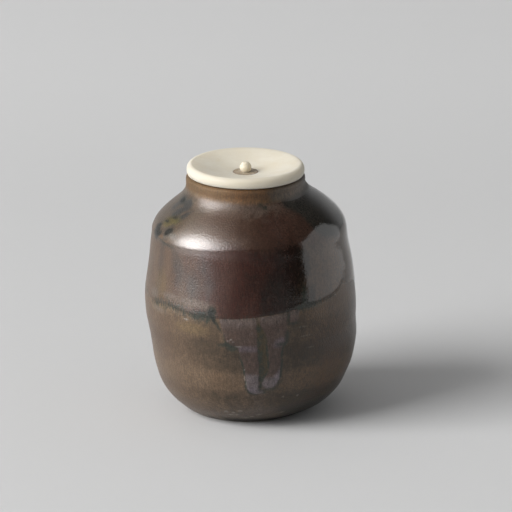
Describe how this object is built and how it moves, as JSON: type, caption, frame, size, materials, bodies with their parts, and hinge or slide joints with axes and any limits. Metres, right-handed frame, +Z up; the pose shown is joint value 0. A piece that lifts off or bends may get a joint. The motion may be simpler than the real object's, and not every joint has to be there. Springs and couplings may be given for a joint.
{
  "type": "ceramic tea canister with lid",
  "caption": "Small high-shouldered stoneware tea caddy with an iron-brown running glaze and a loose scooped ivory-coloured lid with a ball knob, for keeping powdered tea.",
  "frame": {"origin": "on the ground under the middle of the belly, in the plane of the flat foot", "axes": "+Z up through the mouth; the picture looks along +Y with +X to its right, and the neck stands off the belly's axis towards -X"},
  "size_m": [0.0653, 0.065, 0.0779],
  "materials": {
    "glazed_stoneware": "gloss",
    "lid_ivory": "satin",
    "plug_ivory": "satin",
    "knob_ivory": "satin",
    "lining_paper": "matte",
    "gold_leaf": "gloss"
  },
  "bodies": {
    "jar": {"jar": "glazed_stoneware"},
    "lid": {"lid_plate": "lid_ivory", "lid_plug": "plug_ivory", "knob": "knob_ivory", "lid_lining": "lining_paper", "lid_leaf": "gold_leaf"}
  },
  "joints": [
    {"name": "lid_lift", "type": "slide", "parent": "jar", "child": "lid", "axis": [0, 0, 1], "range_m": [0, 0.04]}
  ]
}
